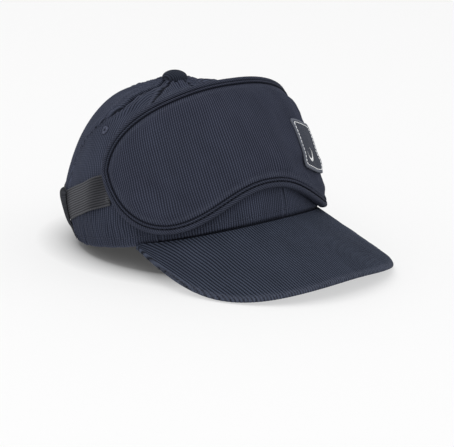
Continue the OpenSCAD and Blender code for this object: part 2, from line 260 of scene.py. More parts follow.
def stitch_template():
    rings, sides = [-0.92, -0.6, 0.0, 0.6, 0.92], 6
    points, faces = [[-1, 0, 0]], []
    for x in rings:
        r = math.sqrt(1 - x*x*0.96)
        points += [[x, r*math.cos(tau*k/sides), r*math.sin(tau*k/sides)] for k in range(sides)]
    points.append([1, 0, 0])
    last = len(points) - 1
    for k in range(sides):
        j = (k + 1) % sides
        faces.append([0, 1 + j, 1 + k])
        faces.append([last, last - sides + k, last - sides + j])
        for i in range(len(rings) - 1):
            o = 1 + i*sides
            faces.append([o + k, o + j, o + sides + j, o + sides + k])
    return array(points, float), faces


STITCH_POINTS, STITCH_FACES = stitch_template()


def stitches(name, rows, material, length=2.3, gap=0.7, radius=0.27, lift=0.05, lean=0.0, body="cap"):
    """Thread stitches along rows of (points, normals), each an elongated bead of thread."""
    starts, ends, ups = [], [], []
    for points, up in rows:
        run = length_along(points, 0)
        count = int(run[-1]//(length + gap))
        at = np.arange(count)*(run[-1]/count)
        for store, where, source in ((starts, at, points), (ends, at + length, points),
                (ups, at + length/2, up)):
            store.append(stack([interp(where, run, source[:, k]) for k in range(3)], -1))
    p, q, up = (concatenate(v) for v in (starts, ends, ups))
    up = unit(up)
    along = unit(q - p)
    side = unit(cross(up, along))
    turned = unit(along + lean*side)
    across = cross(up, turned)
    half = norm(q - p, axis=1)/2
    t = STITCH_POINTS
    centre = (p + q)/2 + up*lift
    points = (centre[:, None] + turned[:, None]*t[None, :, :1]*half[:, None, None]
        + across[:, None]*t[None, :, 1:2]*radius + up[:, None]*t[None, :, 2:]*radius)
    k = len(t)
    faces = [[v + i*k for v in f] for i in range(len(points)) for f in STITCH_FACES]
    cloth = np.zeros((len(points), k, 3))
    cloth[..., 0] = t[:, 1]*radius
    cloth[..., 1] = t[:, 0]*half[:, None] + np.arange(len(points))[:, None]*3.1
    piece = build(name, points.reshape(-1, 3), faces, material, cloth.reshape(-1, 3))
    return own(piece, body, "thread")


def thread_row(line, y, z, way=1):
    """A row of stitches along a line, facing away from (0, y, z) or, with way -1, towards it."""
    return line, way*unit(line - [0, y, z])


def own(piece, body, slot, *nodes):
    if body:
        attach(piece, body)
    if nodes:
        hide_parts(*nodes)
    return piece


# ---- materials

def srgb(r, g, b):
    def one(c):
        c /= 255
        return c/12.92 if c <= 0.04045 else ((c + 0.055)/1.055)**2.4
    return (one(r), one(g), one(b), 1)


class Nodes:
    """Small helper for building a node tree: inputs are numbers, colours or output sockets."""

    def __init__(self, name):
        self.material = bpy.data.materials.new(name)
        self.material.use_nodes = True
        self.tree = self.material.node_tree
        self.shader = self.tree.nodes["Principled BSDF"]

    def put(self, target, value):
        if isinstance(value, bpy.types.NodeSocket):
            self.tree.links.new(value, target)
        else:
            target.default_value = value

    def math(self, how, a, b=0.0, c=0.0):
        node = self.tree.nodes.new("ShaderNodeMath")
        node.operation = how
        for k, v in enumerate((a, b, c)):
            self.put(node.inputs[k], v)
        return node.outputs[0]

    def add(self, a, b): return self.math("ADD", a, b)
    def mul(self, a, b): return self.math("MULTIPLY", a, b)
    def fma(self, a, b, c): return self.math("MULTIPLY_ADD", a, b, c)

    def noise(self, where, detail=2.0, rough=0.5):
        node = self.tree.nodes.new("ShaderNodeTexNoise")
        self.put(node.inputs["Vector"], where)
        for key, v in (("Scale", 1.0), ("Detail", detail), ("Roughness", rough)):
            node.inputs[key].default_value = v
        return node.outputs[0]

    def mapped(self, where, scale):
        node = self.tree.nodes.new("ShaderNodeMapping")
        self.put(node.inputs["Vector"], where)
        node.inputs["Scale"].default_value = scale
        return node.outputs[0]

    def ramp(self, value, low, high):
        node = self.tree.nodes.new("ShaderNodeMapRange")
        node.clamp = True
        self.put(node.inputs[0], value)
        node.inputs[1].default_value, node.inputs[2].default_value = low, high
        return node.outputs[0]

    def colour(self, share, a, b, how="MIX"):
        node = self.tree.nodes.new("ShaderNodeMix")
        node.data_type, node.blend_type = "RGBA", how
        self.put(node.inputs["Factor"], share)
        self.put(node.inputs[6], a)
        self.put(node.inputs[7], b)
        return node.outputs[2]

    def bump(self, height, distance, strength=1.0):
        node = self.tree.nodes.new("ShaderNodeBump")
        self.put(node.inputs["Height"], height)
        node.inputs["Distance"].default_value = distance*MM
        node.inputs["Strength"].default_value = strength
        self.put(self.shader.inputs["Normal"], node.outputs[0])

    def place(self):
        node = self.tree.nodes.new("ShaderNodeAttribute")
        node.attribute_name = "cloth"
        split = self.tree.nodes.new("ShaderNodeSeparateXYZ")
        self.put(split.inputs[0], node.outputs["Vector"])
        return node.outputs["Vector"], split.outputs[0], split.outputs[1], split.outputs[2]

    def position(self):
        """Place on the object in millimetres, for a solid that has no cloth coordinates."""
        node = self.tree.nodes.new("ShaderNodeTexCoord")
        return self.mapped(node.outputs["Object"], (1/MM,)*3)


def woven(name, dark, light, pitch, float_length, relief=0.12, sheen=0.12, rough=0.85, fill=0.35,
        wear_and_shade=None, blotch=0.3, span=(0.1, 0.95), shine=0.06):
    """Fabric with ribs across x, each rib made of short floats of yarn along y."""
    dark, light = srgb(*dark), srgb(*light)
    n = Nodes(name)
    where, x, y, edge = n.place()
    u = n.math("DIVIDE", x, pitch)
    rib = n.math("POWER", n.math("ABSOLUTE", n.math("COSINE", n.mul(u, pi))), 1.6)
    row = n.mul(n.math("FLOOR", n.add(u, 0.5)), 0.5)
    turn = n.mul(n.add(n.math("DIVIDE", y, float_length), row), tau)
    dots = n.fma(n.math("COSINE", turn), 0.5, 0.5)
    yarn = n.noise(n.mapped(where, (3.1, 1.2, 1)), 3.0, 0.6)
    weave = n.mul(rib, n.fma(dots, fill, 1 - fill))
    share = n.add(n.mul(weave, 0.62), n.mul(yarn, 0.5))
    base = n.colour(n.ramp(share, *span), dark, light)
    large = n.noise(n.mapped(where, (0.05, 0.035, 1)), 3.0, 0.55)
    tint = (1 + blotch, 1 + blotch, 1 + blotch, 1)
    base = n.colour(n.ramp(large, 0.25, 0.75), base, n.colour(1.0, base, tint, "MULTIPLY"))
    # Negative z of the cloth attribute darkens the yarn towards black: painted shade in seams, grooves,
    # crevices and on the lower crown.
    shade = (0.12, 0.12, 0.14, 1)
    base = n.colour(n.ramp(edge, 0.0, -1.0), base, n.colour(1.0, base, shade, "MULTIPLY"))
    # Positive z blends the yarn towards the given wear colour along rubbed edges.
    if wear_and_shade:
        base = n.colour(n.mul(edge, n.ramp(yarn, 0.35, 0.7)), base, srgb(*wear_and_shade))
    n.put(n.shader.inputs["Base Color"], base)
    n.put(n.shader.inputs["Roughness"], n.fma(yarn, -0.12, rough))
    n.shader.inputs["Specular IOR Level"].default_value = shine
    n.shader.inputs["Sheen Weight"].default_value = sheen
    n.shader.inputs["Sheen Roughness"].default_value = 0.5
    n.shader.inputs["Sheen Tint"].default_value = light
    n.bump(n.add(weave, n.mul(yarn, 0.5)), relief)
    return n.material


def speckled(name, dark, light, size, relief=0.2, rough=0.8, metallic=0.0, stretch=(1, 1, 1),
        solid=False):
    """Grainy material: foam cells, brushed metal, card or looped pile."""
    n = Nodes(name)
    where = n.position() if solid else n.place()[0]
    fine = n.noise(n.mapped(where, tuple(s/size for s in stretch)), 4.0, 0.6)
    large = n.noise(n.mapped(where, (0.06, 0.06, 0.06)), 2.0, 0.5)
    share = n.add(n.mul(fine, 0.75), n.mul(large, 0.25))
    n.put(n.shader.inputs["Base Color"], n.colour(n.ramp(share, 0.3, 0.7), srgb(*dark), srgb(*light)))
    n.put(n.shader.inputs["Roughness"], n.fma(fine, 0.25, rough - 0.12))
    n.shader.inputs["Metallic"].default_value = metallic
    n.bump(fine, relief)
    return n.material


RIB = 2.0
CROWN_PITCH, BRIM_PITCH = 1.78, 1.6
WORN = (88, 92, 106)
CROWN_CLOTH = woven("crown_twill", (5, 6, 10), (72, 77, 94), RIB, 1.5, wear_and_shade=WORN)
MASK_CLOTH = woven("mask_twill", (4, 5, 9), (66, 70, 86), RIB, 1.5, wear_and_shade=WORN)
BRIM_CLOTH = woven("brim_twill", (3, 4, 7), (65, 71, 86), RIB, 1.5, wear_and_shade=WORN, span=(0.2, 0.84))
BIND_CLOTH = woven("bound_edge", (6, 7, 12), (65, 69, 84), 1.7, 1.3, 0.1, wear_and_shade=WORN)
BUTTON_CLOTH = woven("button_twill", (8, 9, 14), (52, 57, 69), 1.3, 1.2, 0.03)
LINING = woven("mask_lining_weave", (20, 21, 29), (46, 49, 62), 0.45, 0.45, 0.03, sheen=0.5, rough=0.6)
SWEAT_CLOTH = woven("sweatband_twill", (23, 24, 32), (60, 64, 80), 0.8, 0.8, 0.05)
TAPE_CLOTH = woven("seam_tape_weave", (24, 25, 33), (58, 61, 76), 0.6, 0.6, 0.05)
ELASTIC = woven("elastic_ribs", (10, 10, 12), (102, 103, 108), 2.1, 1.1, 0.1, fill=0.5,
                wear_and_shade=(90, 91, 94), span=(0.05, 1.0))
WEBBING = woven("webbing_weave", (20, 21, 24), (58, 60, 65), 1.5, 1.2, 0.1, fill=0.5, wear_and_shade=(76, 77, 82))
BUCKRAM = woven("buckram_mesh", (150, 148, 140), (226, 224, 216), 0.9, 0.9, 0.2)
LABEL = woven("blank_label_satin", (190, 190, 186), (236, 236, 232), 0.35, 0.7, 0.02, rough=0.5)
PATCH_CLOTH = woven("patch_weave", (30, 32, 38), (78, 82, 92), 0.7, 0.7, 0.08)
PATCH_RIM = woven("patch_overlock", (60, 63, 72), (118, 122, 132), 0.55, 4.0, 0.12)
EMBLEM = woven("emblem_satin_stitch", (186, 188, 192), (250, 250, 250), 0.4, 3.0, 0.06, rough=0.55)
NAVY_THREAD = woven("navy_thread", (26, 28, 37), (80, 84, 100), 0.22, 0.5, 0.05)
GREY_THREAD = woven("grey_thread", (58, 59, 63), (122, 123, 128), 0.22, 0.5, 0.05)
WHITE_THREAD = woven("white_thread", (215, 217, 220), (254, 254, 254), 0.22, 0.5, 0.05)
EYELET_THREAD = woven("eyelet_thread", (40, 43, 55), (98, 102, 120), 0.5, 3.0, 0.1)
FOAM = speckled("foam_cells", (196, 178, 122), (240, 226, 178), 0.7, 0.3)
HOOKS = speckled("hook_nylon", (10, 10, 12), (52, 52, 56), 0.35, 0.5, 0.45)
LOOPS = speckled("loop_pile", (14, 14, 18), (62, 62, 70), 0.5, 0.5, 0.95)
BOARD = speckled("brim_board_plastic", (34, 35, 40), (54, 56, 63), 0.9, 0.05, 0.5, solid=True)
STEEL = speckled("button_steel", (132, 134, 138), (196, 198, 202), 0.25, 0.03, 0.35, 1.0, (1, 9, 1),
                 True)


# ---- crown

def cord(x):
    """Height of the fabric's cords, from 0 in a valley to 1 on a crest."""
    return np.abs(cos(pi*x/RIB))**0.8


CORD = 0.28
SEAMS = (-120, -60, 0, 60, 120, 180)
EYELETS = [(a, 0.45) for a in (-150, -94, 94, 150)]
PANEL_TOP = 0.965
STITCH_INSET = 2.9


def seam_shape(d, run, seed, soft, deep=1.0):
    """Height of a panel near its seam: the seam's valley, the doubled edge under the top
    stitching, the groove of the stitches and the small puckers beyond them."""
    valley = -2.2*bell(d, 0.9)
    double = 0.85*smooth((3.9 - d)/1.3)*(1 - bell(d, 1.3))
    groove = -0.4*bell(d - STITCH_INSET, 0.55)
    pucker = 0.36*sin(run*tau/9.5 + 2*wobble(run, 0*run, 34, seed))
    pucker = pucker + 0.16*sin(run*tau/6.1 + 3*wobble(run, 0*run, 26, seed + 5))
    ridge = soft*(0.6 + 0.4*wobble(run, 0*run, 30, seed + 9))*bell(d - 7.5, 3.4)
    loose = mix(0.3, 1.0, soft)*mix(1.0, deep, soft)
    return (mix(0.3, 0.8*deep, soft)*valley + loose*double + groove + ridge*deep
        + loose*pucker*exp(-np.abs(d - 3.0)/6)*smooth(d/2.2))


def seam_deep(a):
    """How deep a seam's valley and puckers get near the top of the crown."""
    return 0.3 if round(a/60) == -1 else 1.0


def drift(a, u):
    """Angle of the cloth: near the top, folds pull the two seams on the right aside."""
    pull = 30*bell(a + 120, 34)*smooth((u - 0.32)/0.3) - 6.5*bell(a + 60, 22)*smooth((u - 0.3)/0.2)
    return a + pull*smooth((0.99 - u)/0.08)


def crown_lift(a, u):
    """Folds of the whole crown: soft waves everywhere, gathers where the back is drawn in."""
    p = crown(a, u)
    z = p[..., 2]
    drawn = pw(1 - front_part(a), 1.2)*pw(1 - z/58, 1.2)
    top = smooth((u - 0.5)/0.3)*smooth((0.97 - u)/0.1)

    def folds(arc):
        return (drawn*(0.9*sin(arc*tau/17 + 1.4*wobble(arc, z, 40, 3)) + 0.5*wobble(arc, z*0.3, 9, 4))
            + top*0.7*wobble(arc*0.6, z*0.5, 22, 5) + 0.5*wobble(arc, z, 55, 6))
    arc = radians(a)*88
    both = mix(folds(arc), folds(np.abs(arc)), smooth((np.abs(a) - 140)/40))
    under_button = 1.1*smooth((u - 0.88)/0.06)
    far_side = 1.7*bell(a - 44, 22)*bell(z - hem_z(a), 14)
    return both + under_button + far_side + top_folds(a, u)


def top_folds(a, u):
    """Folds beside the drawn seam on the right: its rear panel rolls over the side panel, and
    the front panel bulges below the button."""
    e = radians(a - drift(-120, u))*84*cosd(90*u)
    rolled = (0.9*bell(e + 5, 3.6) - 1.5*bell(e - 2.6, 3.4) + 0.9*bell(e - 9.5, 3)
        - 0.8*bell(e - 15, 3.4))
    front = 1.1*bell(a + 40, 13)*bell(u - 0.83, 0.08)
    sunk = 0.9*bell(a + 145, 38)*smooth((u - 0.4)/0.2)
    return (rolled*smooth((u - 0.46)/0.14) - sunk)*smooth((0.94 - u)/0.1) + front


def panel(name, columns, starts):
    rows = 124
    w = linspace(0, 1, rows)
    w = mix(w, w**2, 0.45*(1 - w)**2)
    u = mix(starts[:, None], PANEL_TOP, w)
    a = drift(columns[:, None], u)
    base = crown(a, u)
    n = normals(base)
    s = (base[..., 2:] - hem_z(a)[..., None])/(CROWN_TOP - hem_z(a)[..., None])
    radius = np.hypot(base[..., 0], base[..., 1] - TOP_SHIFT*s[..., 0])
    middle = (columns[0] + columns[-1])/2
    x = radians(a - middle)*radius*RIB/CROWN_PITCH
    y = -length_along(base[:, ::-1], 1)[:, ::-1]
    to_first = radians(a - a[0])*radius
    to_last = radians(a[-1] - a)*radius
    d = minimum(to_first, to_last)
    hem = length_along(base, 1)
    x = x + 0.4*wobble(x, y, 26, len(name)) + 0.2*wobble(x, y*0.5, 7, len(name) + 40)
    lift = crown_lift(a, u)
    soft = smooth((u - 0.25)/0.3)
    lift = lift + np.where(to_first < to_last, seam_shape(d, y, 11, soft, seam_deep(columns[0])),
        seam_shape(d, y, 12, soft, seam_deep(columns[-1])))
    low = smooth((52 - base[..., 2])/20)
    lift = lift + 0.13*low*wobble(x*2.4, y*0.3, 7, len(name) + 70)
    at_brim = smooth((BRIM_ANGLE - np.abs(a))/4)
    lift = lift - 0.9*bell(hem, 1.3) - 0.22*bell(hem - 6.5, 0.6) - at_brim*bell(hem - 1.9, 1.0)
    for where, share in EYELETS:
        to_eye = norm(base - crown(where, share), axis=-1)
        lift = lift - 0.5*smooth((6 - to_eye)/3)
    fade = smooth((d - 0.7)/1.2)
    outer = base + n*(lift + CORD*(cord(x) - 0.6)*fade)[..., None]
    inner = base + n*(lift*0.9 - FABRIC)[..., None]
    keep = np.ones((len(columns) - 1, rows - 1), bool)
    centre = (base[:-1, :-1] + base[1:, 1:])/2
    for where, share in EYELETS:
        keep &= norm(centre - crown(where, share), axis=-1) > 1.35
    # Wear lightens the cloth beside the seams and along the hem; painted shade darkens it towards the
    # bottom of the crown, in the seam valleys and in the groove where the brim joins.
    wear_and_shade = (0.4*bell(d - 1.8, 0.7) + bell(hem, 1.2)*(1 - at_brim) - 0.2*low
        - mix(0.15, 0.9, soft)*bell(d, mix(0.6, 0.9, soft)) - at_brim*bell(hem - 1.6, 0.6))
    cloth = xyz(x, y, wear_and_shade)
    piece = shell("cap_" + name, outer, inner, cloth, CROWN_CLOTH, keep)
    own(piece, "cap", "crown_fabric", name)


def arch_z(b):
    inside = OPEN_HEIGHT*sqrt(maximum(0, 1 - (b/OPEN_ANGLE)**2))
    return np.where(b < OPEN_ANGLE, inside, hem_z(180 - b))


def make_crown():
    gap = 0.03
    for side, sign in (("left", 1), ("right", -1)):
        for part, first in (("front", 0), ("side", 60)):
            columns = sign*linspace(first + gap, first + 60 - gap, 300)
            panel(f"{part}_panel_{side}", np.sort(columns), np.zeros(300))
        plain = linspace(60 - gap, OPEN_ANGLE, 150)
        arched = maximum(gap, OPEN_ANGLE*cosd(linspace(0, 90, 160)[1:]))
        b = concatenate([plain, arched])
        starts = u_at(180 - b, arch_z(b))
        columns = sign*(180 - b)
        order = np.argsort(columns)
        panel(f"back_panel_{side}", columns[order], starts[order])


def skin_points(a, u, off):
    """Points and normals on the crown's soft surface along a line."""
    a, u = np.broadcast_arrays((np.asarray(a, float) + 180) % 360 - 180, u)
    n = surface_normals(lambda a, u: crown(a, clip(u, 0, 1)), a, u, 0.4, 0.004)
    return crown(a, u) + n*(crown_lift(a, u) + off)[..., None], n


def make_crown_stitches():
    rows = []
    for a in SEAMS:
        low = 0.02 if a != 180 else float(u_at(180.0, OPEN_HEIGHT)) + 0.03
        u = linspace(low, 0.93, 260)
        whole = np.append(u, PANEL_TOP)
        run = length_along(crown(drift(a, whole), whole), 0)
        run = (run - run[-1])[:-1]
        for side in (-1, 1):
            turned = drift(a, u)
            radius = norm(crown(turned, u)[:, :2] - [0, TOP_SHIFT], axis=1)
            over = seam_shape(STITCH_INSET, run, 11 if side > 0 else 12, smooth((u - 0.25)/0.3),
                seam_deep(a))
            rows.append(skin_points(turned + side*np.degrees(STITCH_INSET/radius), u, over + 0.05))
    a = linspace(-180 + OPEN_ANGLE + 3, 180 - OPEN_ANGLE - 3, 900)
    rows.append(skin_points(a, u_at(a, hem_z(a) + 6.5), 0.0))
    stitches("crown_top_stitching", rows, NAVY_THREAD)


def make_eyelets():
    parts, around, turns = [], 96, 10
    for a, u in EYELETS:
        centre, n = skin_points(array([a]), array([u]), -0.05)
        centre, n = centre[0], n[0]
        side = unit(cross([0, 0, 1.0], n))
        up = cross(n, side)
        phi = circle(around)[:, None]
        psi = circle(turns)[None]
        thick = 1.0*(1 + 0.14*np.abs(cos(phi*14)))
        r = 1.95 + thick*cos(psi)
        p = (centre + side*(r*cos(phi))[..., None] + up*(r*sin(phi))[..., None]
            + n*(thick*sin(psi)*0.8)[..., None])
        parts.append((p.reshape(-1, 3), loops(p, True), xyz(phi*2.5, psi).reshape(-1, 3)))
    own(joined("eyelet_threads", parts, EYELET_THREAD), "cap", "thread", "eyelets")


def make_button():
    around, rings = 168, 40
    lo, hi = part_box("button_cover")
    cx, cy = (lo[:2] + hi[:2])/2
    radius, rise, foot = (hi[0] - lo[0])/2, hi[2] - lo[2], lo[2]
    phi = circle(around)[:, None]
    turn = radians(linspace(-38, 88.5, rings))[None]

    def dome(grow, cords):
        r = (radius + grow)*cos(turn)
        z = foot + (rise + grow)*maximum(sin(turn), 0)**0.9 + 2.2*minimum(sin(turn), 0)
        x, y = r*cos(phi), r*sin(phi)
        pleat = 0.1*np.abs(cos(phi*9))*smooth((0.2 - turn)/0.5)
        tall = 1 + pleat*cords/radius
        return xyz(cx + x*tall, cy + y*tall, z + 0*phi + cords*0.05*cord(x*1.54)), x, y
    outer, x, y = dome(0, 1)
    inner, _, _ = dome(-0.8, 0)
    # Painted shade: the skirt under the dome darkens towards the neck.
    wear_and_shade = np.broadcast_to(-smooth((0.05 - sin(turn))/0.3), x.shape)
    cloth = xyz(x, y, wear_and_shade)
    piece = shell("top_button_cover", outer, inner, cloth, BUTTON_CLOTH, ring=True)
    own(piece, "cap", "crown_fabric", "button_cover")


# ---- brim

def brim_seam(t):
    return crown(BRIM_ANGLE*t, 0, 0.3)


def brim_edge(t, inset):
    turn = 90*t
    x = (BRIM_HALF - inset)*np.sign(turn)*pw(np.abs(sind(turn)), 0.92)
    y = BRIM_CORNER - (BRIM_REACH - inset)*pw(cosd(turn), 0.68)
    z = (hem_z(0) + (y + HALF_LENGTH)*math.tan(math.radians(BRIM_SLOPE))
        - BRIM_RADIUS*(1 - sqrt(1 - (x/BRIM_RADIUS)**2)))
    edge = xyz(x, y, z)
    return mix(edge, brim_seam(np.sign(t)), (0.93*pw(np.abs(t), 18))[..., None])


def make_brim():
    columns, rows, roll = 600, 84, 7
    t = sin(linspace(-1, 1, columns)*pi/2)
    t = mix(t, linspace(-1, 1, columns), 0.45)[:, None]
    s = linspace(0, 1, rows)
    s = concatenate([mix(s, s*s, 0.6), np.ones(roll)])[None]
    phi = radians(concatenate([np.zeros(rows), linspace(0, 90, roll + 1)[1:]]))[None]
    outside, inside = 1.45, 0.78

    def layer(thick, sign, lift):
        inset = outside - thick*sin(phi) + 0*t
        rear, front = brim_seam(t + 0*s), brim_edge(t + 0*s, inset)
        tuck_in = 1.3/maximum(norm(front - rear, axis=-1), 10)
        p = mix(rear, front, (s*(1 + tuck_in) - tuck_in)[..., None])
        p[..., 2] += sign*(thick*cos(phi) + lift)
        return p
    for name, sign in (("top", 1), ("under", -1)):
        base = layer(outside, sign, 0.0)
        x = base[..., 0]*RIB/BRIM_PITCH + 0.22*wobble(base[..., 0], base[..., 1], 30, 21)
        soft = 0.22*wobble(base[..., 0], base[..., 1], 34, 22)*smooth(s/0.1)
        rolled = smooth(np.degrees(phi)/60)
        lift = (soft + 1.2*CORD*(cord(x) - 0.5))*(1 - rolled) + 0.12*rolled*cord(x)
        dip = 0.55 if sign > 0 else 0.2
        lift = lift*smooth((1.0 - np.abs(t))/0.03) - dip*smooth((0.036 - s)/0.016)
        outer = base.copy()
        outer[..., 2] += sign*lift
        inner = layer(inside, sign, 0.0)
        # Wear lightens the front edge; painted shade darkens the root where the brim meets the crown.
        wear_and_shade = smooth((s - 0.965)/0.03)*smooth((0.99 - np.abs(t))/0.1)*0.55 - smooth((0.03 - s)/0.012)
        cloth = xyz(x, base[..., 1], wear_and_shade)
        piece = shell(f"brim_{name}_fabric", outer, inner, cloth, BRIM_CLOTH)
        own(piece, "cap", "crown_fabric", f"brim_{name}_cover")


# ---- inside of the cap

def band(name, a0, a1, low, high, off, thick, grain, material, steps, rows, relief, body="cap",
         slot="webbing", nodes=()):
    """Strip of woven tape on the crown. low and high are heights, or functions of the angle."""
    a = linspace(a0, a1, steps)[:, None]
    j = linspace(0, 1, rows)[None]
    low, high = (v(a) if callable(v) else v + 0*a for v in (low, high))
    z = mix(low, high, j)
    outer, inner = crown_z(a, z, off), crown_z(a, z, off - thick)
    n = normals(outer)
    run = length_along(outer[:, rows//2:rows//2 + 1], 0)
    wide = np.abs(high - low)*j
    outer = outer + n*relief(run, wide, np.abs(high - low))[..., None]
    edge = maximum(bell(j, 0.05), bell(1 - j, 0.05)) + 0*a
    across = (wide, run + 0*j) if grain == "along" else (run + 0*j, wide)
    cloth = xyz(across[0], across[1], edge)
    piece = shell(name, outer, inner, cloth, material)
    return own(piece, body, slot, *nodes)


TAPE_HALF = 5


def make_inside():
    end = 180 - OPEN_ANGLE - 0.5
    band("sweatband_fabric", -end, end, lambda a: hem_z(a) + 0.4, lambda a: hem_z(a) + 30, -3.2, 0.8,
        "across", SWEAT_CLOTH, 420, 22, lambda run, wide, full: 0.25*wobble(run, wide, 24, 31)
        - 0.3*bell(wide - 3, 0.7), slot="lining", nodes=("sweatband",))
    band("blank_label", -160, -142, 56, 70, -2.3, 0.35, "across", LABEL, 60, 36,
        lambda run, wide, full: -0.08*maximum(bell(wide - 1.2, 0.3), bell(full - 1.2 - wide, 0.3)),
        slot="label", nodes=("inner_label",))
    a = linspace(-159.4, -142.6, 60)
    rows = []
    for z in (57.0, 69.0):
        rows.append(thread_row(crown_z(a, z, -2.7), 10, 45, -1))
    stitches("label_stitching", rows, NAVY_THREAD, 1.6, 0.8, 0.2)
    row = PANEL_TOP/14
    parts, seams = [], []
    for a in SEAMS:
        first = 5 if a == 180 else 1
        u = linspace(first*row, 12*row, 96)[None]
        j = linspace(-1, 1, 13)[:, None]
        swing = np.degrees(TAPE_HALF/(HALF_WIDTH*cosd(90*u)))
        curl = 0.22*(np.abs(j)**4) - 0.12*bell(np.abs(j) - 0.72, 0.1)
        outer = crown(a + j*swing, u + 0*j, -2.3 + curl)
        inner = crown(a + j*swing, u + 0*j, -2.7 + curl*0.6)
        run = length_along(outer[len(j)//2][None], 1)
        parts.append(solid(outer, inner, xyz(j*TAPE_HALF, run, bell(1 - np.abs(j), 0.06))))
        for side in (-0.72, 0.72):
            seams.append(thread_row(crown(a + side*swing[0], u[0], -2.72), 10, 40, -1))
    own(joined("seam_tape_strips", parts, TAPE_CLOTH), "cap", "tape", "seam_tapes")
    stitches("seam_tape_stitching", seams, NAVY_THREAD, 2.3, 0.7, 0.2)
    step = 60/8
    a = linspace(-7.5*step, 7.5*step, 240)[:, None]
    u = linspace(row, 11*row, 120)[None]
    grid = 0.12*maximum(np.abs(cosd(a*90)), np.abs(cos(u*290)))
    outer = crown(a + 0*u, u + 0*a, -1.5 - 0.12 + grid)
    inner = crown(a + 0*u, u + 0*a, -2.1)
    cloth = xyz(radians(a)*82, u*150)
    own(shell("buckram_mesh", outer, inner, cloth, BUCKRAM), "cap", "buckram", "front_buckram")


# ---- back opening and closure

def make_back():
    v = linspace(0, 180, 240)[:, None]
    profile = array([(-1.2, 0.5), (-0.3, 0.85), (1.2, 0.95), (2.3, 0.8), (3.0, 0.2), (3.15, -0.7),
        (3.0, -1.6), (2.3, -2.0), (1.2, -1.95), (-0.3, -1.8), (-1.2, -1.6), (-1.25, -0.6)])
    inset, off = profile[None, :, 0], profile[None, :, 1]
    b = (OPEN_ANGLE - inset/1.58)*cosd(v)
    z = (OPEN_HEIGHT - inset)*sind(v)
    sections = crown_z(180 - b, z + 0*b, off + 0*b)
    run = length_along(sections[:, :1], 0)
    cloth = xyz(run, inset*1.3, 0*b + 0.25*bell(inset - 3, 0.6))
    own(tube("opening_binding_tape", sections, cloth, BIND_CLOTH), "cap", "binding", "opening_binding")
    v = linspace(4, 176, 300)
    line = crown_z(180 - (OPEN_ANGLE - 0.9)*cosd(v), (OPEN_HEIGHT - 1.3)*sind(v), 0.97)
    stitches("opening_stitching", [thread_row(line, 10, 40)], NAVY_THREAD, 2.0, 0.7, 0.22)

    def ribs(run, wide, full):
        border = maximum(bell(wide - 1.6, 0.4), bell(full - 1.6 - wide, 0.4))
        return 0.1*np.abs(cos(wide*pi/1.5)) - 0.14*border
    root = 180 - OPEN_ANGLE + 4.6
    band("size_strap_webbing", root, 194, 2, 17, 0.35, 1.1, "along", WEBBING, 140, 61, ribs,
        "size_strap", "webbing", ("size_strap",))
    band("size_tab_webbing", 180, 210, 2, 17, -2.35, 0.7, "along", WEBBING, 110, 61, ribs, "cap",
        "webbing", ("size_tab",))
    band("hook_patch_nylon", 181, 193.5, 3, 16, -0.85, 0.4, "along", HOOKS, 110, 70,
        lambda run, wide, full: 0*run*wide, "size_strap", "hook_and_loop", ("hook_patch",))
    band("loop_patch_pile", 180.5, 197, 3, 16, -1.35, 0.4, "along", LOOPS, 110, 70,
        lambda run, wide, full: 0.1*wobble(run, wide, 1.6, 41), "cap", "hook_and_loop", ("loop_patch",))
    rows = []
    for z in (3.6, 15.4):
        a = linspace(root + 2, 193, 120)
        rows.append(thread_row(crown_z(a, z, 0.42), 0, 10))
    stitches("size_strap_stitching", rows, GREY_THREAD, 1.8, 0.7, 0.2, body="size_strap")


def make_keepers():
    path = array([[1, 0.3], [0.985, 0.3], [0.968, 0.5], [0.955, 1.2], [0.935, 1.9], [0.89, 2.0],
        [0.7, 1.9], [0.4, 1.85], [0.33, 1.6], [0.25, 0.6], [0.1, 0.3], [0, 0.3]])
    knots = length_along(path*[36, 1], 0)
    w = linspace(0, knots[-1], 120)
    share, off = interp(w, knots, path[:, 0]), interp(w, knots, path[:, 1])
    for _ in range(3):
        off[1:-1] = (off[:-2] + 2*off[1:-1] + off[2:])/4
    tacks = 0.3*(bell(share - 0.983, 0.01) + bell(share - 0.03, 0.014))
    for side, sign in (("right", 1), ("left", -1)):
        turn = linspace(-128.5, -120.5, 56)[:, None]
        j = linspace(0, 1, 56)[:, None]
        head = strap_z(360 + turn) + strap_half(360 + turn) - 0.1
        z = mix(6, head, share[None])
        ribs = 0.12*np.abs(cos(j*pi*6)) + 0.12*minimum(bell(j, 0.05) + bell(1 - j, 0.05), 1)
        soft = 0.15*wobble(j*10, z, 20, 51)
        base = crown_z(sign*turn, z, off + 0*turn)
        n = normals(base)
        folded = 1.1 + 1.3*bell(share - 0.86, 0.28) + 0.5*bell(share - 0.45, 0.3)
        outer = base + n*(folded + ribs + soft - tacks[None])[..., None]
        inner = base + 0*n
        run = length_along(base[28:29], 1)
        edge = maximum(bell(j, 0.06), bell(1 - j, 0.06)) + 0*z
        cloth = xyz(j*9, run, edge)
        piece = shell(f"strap_keeper_webbing_{side}", outer, inner, cloth, WEBBING)
        own(piece, "cap", "webbing", f"strap_keeper_{side}")
        rows = []
        for where in (0.983, 0.03):
            k = np.argmin(np.abs(share - where))
            rows.append((outer[3:-3, k], n[3:-3, k]))
        stitches(f"keeper_stitching_{side}", rows, GREY_THREAD, 1.5, 0.5, 0.24, 0.1)


# ---- elastic strap

STRAP_RIBS = 6.5


def strap_gap(a):
    """Room between the strap and the crown where it starts to stretch towards the mask."""
    return 2.0*bell(a - 267.5, 6.2) + 1.0*bell(a - 91, 7)


